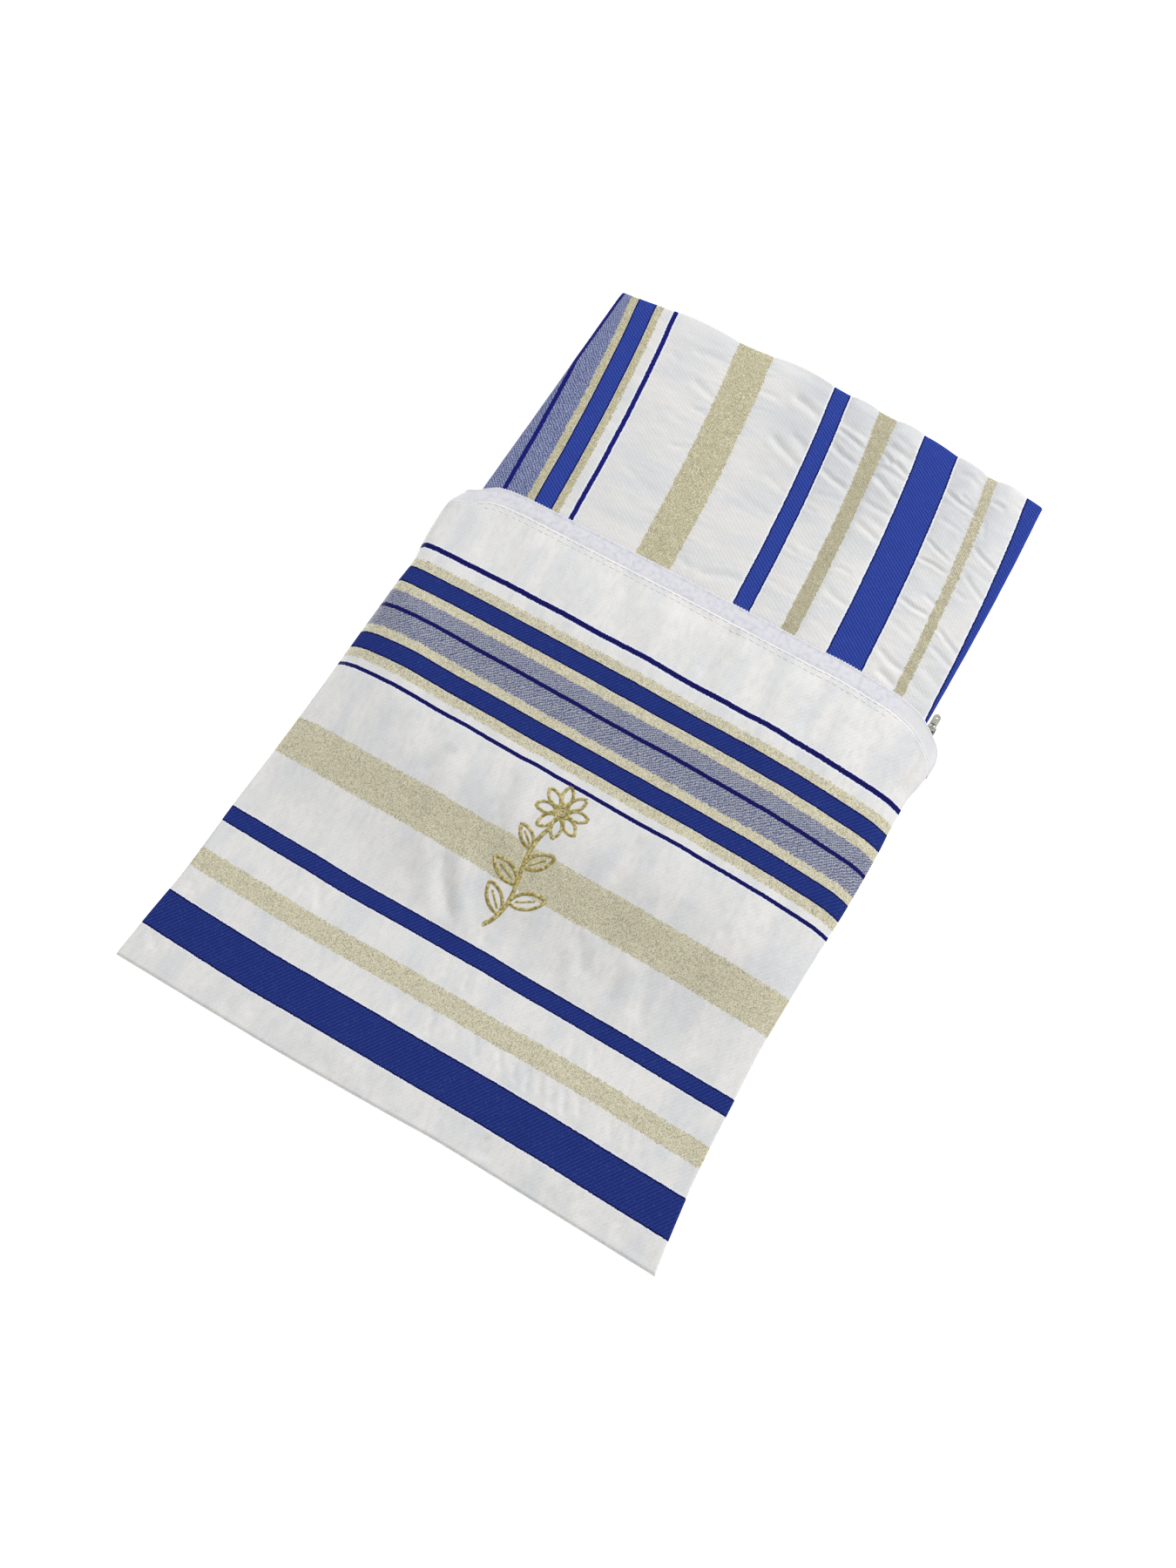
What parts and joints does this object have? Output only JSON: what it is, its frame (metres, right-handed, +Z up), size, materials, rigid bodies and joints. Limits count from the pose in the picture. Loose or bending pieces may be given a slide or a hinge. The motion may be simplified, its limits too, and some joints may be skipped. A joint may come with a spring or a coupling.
{
  "type": "folded prayer scarf in its zip pouch",
  "caption": "Striped prayer scarf folded into a flat packet and drawn about half way out of its matching zip pouch, lying flat on a table.",
  "frame": {"origin": "on the underside of the pouch's back panel, on its centre line and half way along the whole part", "axes": "+X across the pouch towards the zip slider's end, +Y along it from the bottom seam to the scarf's far end, +Z up"},
  "size_m": [0.23, 0.348, 0.0166],
  "materials": {
    "pouch_back": "white woven cloth with blue and gold stripes",
    "pouch_front": "white woven cloth with blue and gold stripes",
    "zip_tape_back": "plain white tape",
    "zip_tape_front": "plain white tape",
    "scarf_folds": "folded edges of white and blue striped cloth",
    "scarf_top": "white woven cloth with blue and gold stripes, puckered",
    "zip_slider": "plated, slightly worn",
    "zip_pull": "plated, slightly worn"
  },
  "bodies": {
    "pouch_and_scarf": {"pouch_back": "pouch_back", "pouch_front": "pouch_front", "zip_tape_back": "zip_tape_back", "zip_tape_front": "zip_tape_front", "scarf_folds": "scarf_folds", "scarf_top": "scarf_top", "zip_slider": "zip_slider"},
    "pull_tab": {"zip_pull": "zip_pull"}
  },
  "joints": [
    {"name": "pull_tab_hinge", "type": "hinge", "parent": "pouch_and_scarf", "child": "pull_tab", "pos_m": [0.1028, 0.0608, 0.00535], "axis": [1, 0, 0], "range_deg": [0, 80]}
  ]
}
